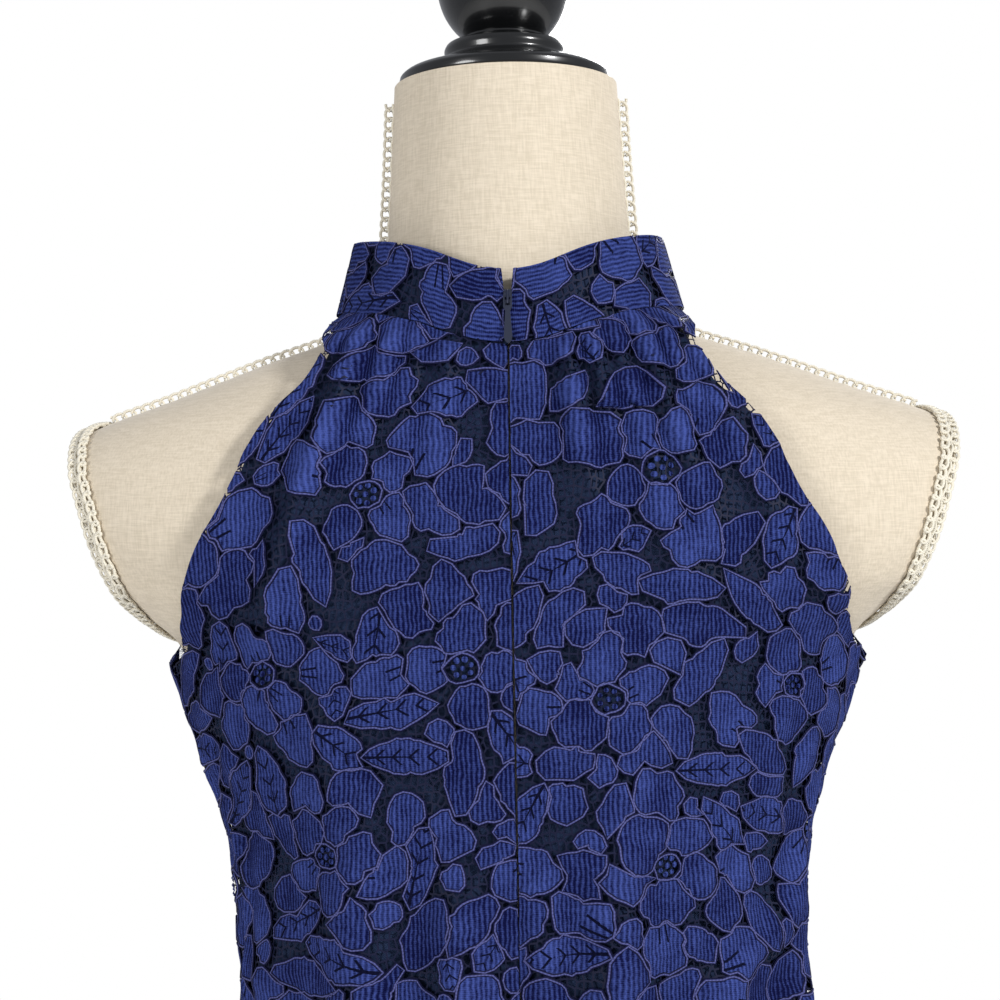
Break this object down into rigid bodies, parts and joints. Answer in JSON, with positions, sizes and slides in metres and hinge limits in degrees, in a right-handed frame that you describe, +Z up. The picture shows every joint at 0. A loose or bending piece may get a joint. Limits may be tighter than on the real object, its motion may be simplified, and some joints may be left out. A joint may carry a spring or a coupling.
{
  "type": "cocktail dress on a dress form",
  "caption": "Sleeveless halter cocktail dress in corded floral lace over a dark lining, with a stand collar and back zip, on a limbless linen dress form with a stand.",
  "frame": {"origin": "on the floor, at the centre of the stand's base, under its flat underside", "axes": "+Z up, the dress's front faces -Y and its zip is at +Y, +X is the wearer's left"},
  "size_m": [0.3775, 0.344, 1.5632],
  "materials": {
    "lace": "corded floral lace, ribbed matt motifs with a soft sheen",
    "lining": "plain dark woven lining",
    "zip_tape": "woven zip tape",
    "zip_metal": "dark enamelled metal",
    "linen": "natural linen, plain weave",
    "braid": "ivory scroll gimp braid",
    "black_wood": "turned wood in gloss black lacquer"
  },
  "bodies": {
    "dress_on_form": {"dress_front": "lace", "dress_back_left": "lace", "dress_back_right": "lace", "collar": "lace", "lining_front": "lining", "lining_back_left": "lining", "lining_back_right": "lining", "collar_lining": "lining", "zip_tape_left": "zip_tape", "zip_tape_right": "zip_tape", "zip_slider": "zip_metal", "form_torso": "linen", "arm_braid_left": "braid", "arm_braid_right": "braid", "shoulder_braid_left": "braid", "shoulder_braid_right": "braid", "form_neck_cap": "black_wood", "form_pole": "black_wood", "form_base": "black_wood"},
    "zip_pull": {"zip_pull": "zip_metal"}
  },
  "joints": [
    {"name": "zip_pull_swing", "type": "hinge", "parent": "dress_on_form", "child": "zip_pull", "pos_m": [0, 0.068, 1.38992], "axis": [1, 0, 0], "range_deg": [0, 165]}
  ]
}
